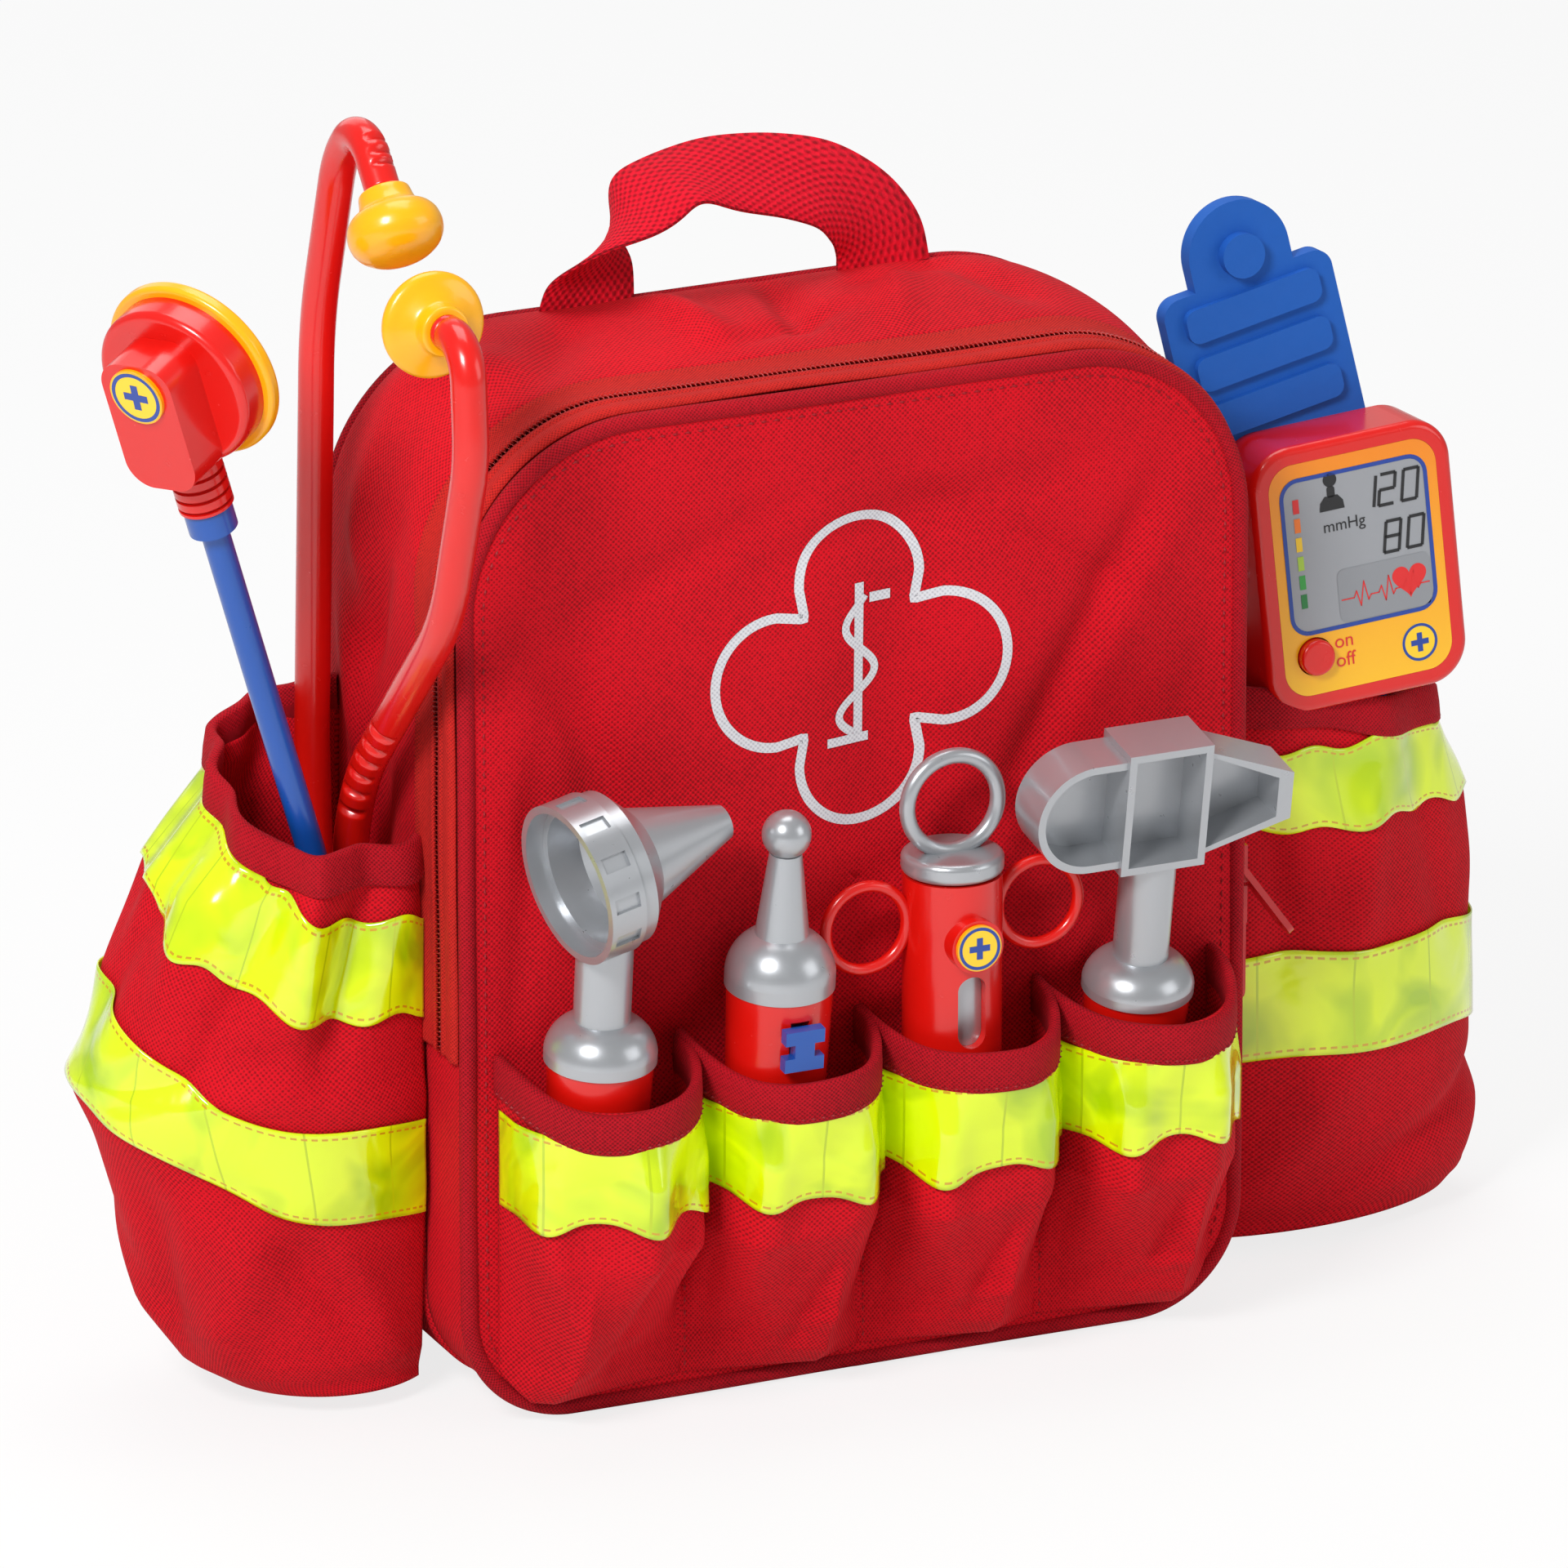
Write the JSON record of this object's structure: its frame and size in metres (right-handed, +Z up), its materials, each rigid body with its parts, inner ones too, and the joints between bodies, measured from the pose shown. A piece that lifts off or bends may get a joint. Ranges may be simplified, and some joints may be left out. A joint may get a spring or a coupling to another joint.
{
  "type": "toy rescue backpack",
  "caption": "Child's toy rescue backpack with front pouches and side pockets that hold toy medical instruments, a zipped front panel, carry handle and shoulder straps.",
  "frame": {"origin": "on the ground under the middle of the bag, on its flat base", "axes": "+X to the right seen from the front, +Y to the back, +Z up"},
  "size_m": [0.3881, 0.1636, 0.3356],
  "materials": {
    "bag_fabric": "woven",
    "binding_fabric": "ribbed",
    "black_plastic": "matt",
    "blue_foam": "matt",
    "blue_plastic": "glossy",
    "printed_label": "printed",
    "red_metal": "gloss",
    "red_plastic": "glossy",
    "reflective_tape": "glossy fluorescent",
    "screen_print": "printed",
    "silver_plastic": "metallic satin",
    "webbing_fabric": "ribbed webbing",
    "yellow_plastic": "glossy",
    "zip_fabric": "woven tape with coil"
  },
  "bodies": {
    "bag": {"back_panel": "bag_fabric", "back_piping": "binding_fabric", "upper_gusset": "bag_fabric", "lower_gusset": "bag_fabric", "side_gore_left": "bag_fabric", "side_gore_right": "bag_fabric", "zip_tape_back": "zip_fabric", "shoulder_strap_left": "bag_fabric", "shoulder_strap_right": "bag_fabric", "strap_webbing_left": "webbing_fabric", "strap_webbing_right": "webbing_fabric", "ladder_lock_left": "black_plastic", "ladder_lock_right": "black_plastic", "side_pocket_left": "bag_fabric", "side_pocket_right": "bag_fabric", "side_pocket_binding_left": "binding_fabric", "side_pocket_binding_right": "binding_fabric", "side_pocket_tapes_left": "reflective_tape", "side_pocket_tapes_right": "reflective_tape"},
    "handle": {"carry_handle": "webbing_fabric"},
    "flap": {"front_panel": "bag_fabric", "front_piping": "binding_fabric", "zip_tape_front": "zip_fabric", "front_pouch_1": "bag_fabric", "front_pouch_2": "bag_fabric", "front_pouch_3": "bag_fabric", "front_pouch_4": "bag_fabric", "front_pouch_binding": "binding_fabric", "front_pouch_tape": "reflective_tape"},
    "slider_upper": {"zip_slider_upper": "red_metal"},
    "pull_upper": {"zip_pull_upper": "red_metal"},
    "slider_lower": {"zip_slider_lower": "red_metal"},
    "pull_lower": {"zip_pull_lower": "red_metal"},
    "otoscope": {"otoscope_grip": "red_plastic", "otoscope_neck": "silver_plastic", "otoscope_drum": "silver_plastic", "otoscope_cone": "silver_plastic"},
    "probe": {"probe_grip": "red_plastic", "probe_nozzle": "silver_plastic"},
    "switch": {"probe_switch": "blue_plastic"},
    "syringe": {"syringe_barrel": "red_plastic", "syringe_badge": "printed_label"},
    "plunger": {"syringe_plunger": "silver_plastic"},
    "hammer": {"hammer_grip": "red_plastic", "hammer_neck": "silver_plastic", "hammer_head": "silver_plastic"},
    "stethoscope": {"stethoscope_yoke": "blue_plastic", "stethoscope_tube": "blue_plastic", "chest_piece": "red_plastic", "chest_rim": "yellow_plastic", "chest_badge": "printed_label"},
    "arm_front": {"stethoscope_arm_front": "red_plastic", "ear_tip_front": "yellow_plastic"},
    "arm_back": {"stethoscope_arm_back": "red_plastic", "ear_tip_back": "yellow_plastic"},
    "monitor": {"cuff": "blue_foam", "monitor_case": "red_plastic", "monitor_face": "printed_label", "monitor_screen": "screen_print"},
    "button": {"monitor_button": "red_plastic"}
  },
  "joints": [
    {"name": "front_panel_hinge", "type": "hinge", "parent": "bag", "child": "flap", "pos_m": [0, -0.0428, 0.0022], "axis": [1, 0, 0], "range_deg": [0, 25], "deforming": ["side_gore_left", "side_gore_right"]},
    {"name": "carry_handle_hinge", "type": "hinge", "parent": "bag", "child": "handle", "pos_m": [0, 0.0385, 0.2631], "axis": [1, 0, 0], "range_deg": [-75, 20]},
    {"name": "upper_slider_travel", "type": "slide", "parent": "bag", "child": "slider_upper", "axis": [0, 0, 1], "range_m": [0, 0.088]},
    {"name": "upper_pull_hinge", "type": "hinge", "parent": "slider_upper", "child": "pull_upper", "pos_m": [0.1119, -0.03, 0.114], "axis": [0, -1, 0], "range_deg": [0, 110]},
    {"name": "lower_slider_travel", "type": "slide", "parent": "bag", "child": "slider_lower", "axis": [0, 0, 1], "range_m": [0, 0.0008]},
    {"name": "lower_pull_hinge", "type": "hinge", "parent": "slider_lower", "child": "pull_lower", "pos_m": [0.1119, -0.03, 0.103], "axis": [0, -1, 0], "range_deg": [0, 45]},
    {"name": "otoscope_lift", "type": "slide", "parent": "flap", "child": "otoscope", "axis": [0, -0.1045, 0.9945], "range_m": [0, 0.06]},
    {"name": "probe_lift", "type": "slide", "parent": "flap", "child": "probe", "axis": [0, -0.1045, 0.9945], "range_m": [0, 0.06]},
    {"name": "probe_switch_slide", "type": "slide", "parent": "probe", "child": "switch", "axis": [0, -0.1045, 0.9945], "range_m": [-0.0025, 0.0025]},
    {"name": "syringe_lift", "type": "slide", "parent": "flap", "child": "syringe", "axis": [0, 0, 1], "range_m": [0, 0.06]},
    {"name": "plunger_slide", "type": "slide", "parent": "syringe", "child": "plunger", "axis": [0, 0, 1], "range_m": [0, 0.022]},
    {"name": "hammer_lift", "type": "slide", "parent": "flap", "child": "hammer", "axis": [0, -0.165, 0.9863], "range_m": [0, 0.06]},
    {"name": "stethoscope_lift", "type": "slide", "parent": "bag", "child": "stethoscope", "axis": [0, 0, 1], "range_m": [0, 0.1]},
    {"name": "front_arm_hinge", "type": "hinge", "parent": "stethoscope", "child": "arm_front", "pos_m": [-0.118, 0.0105, 0.097], "axis": [1, 0, 0], "range_deg": [0, 2.5], "stiffness_Nm_per_rad": 0.5, "springref_deg": -2.86},
    {"name": "back_arm_hinge", "type": "hinge", "parent": "stethoscope", "child": "arm_back", "pos_m": [-0.118, 0.0235, 0.097], "axis": [-1, 0, 0], "range_deg": [0, 2.5], "stiffness_Nm_per_rad": 0.5, "springref_deg": -2.86},
    {"name": "monitor_lift", "type": "slide", "parent": "bag", "child": "monitor", "axis": [0, 0, 1], "range_m": [0, 0.06]},
    {"name": "monitor_button_press", "type": "slide", "parent": "monitor", "child": "button", "axis": [0.0061, 0.9962, -0.0872], "range_m": [0, 0.0015], "stiffness_N_per_m": 400, "springref_m": -0.001}
  ]
}
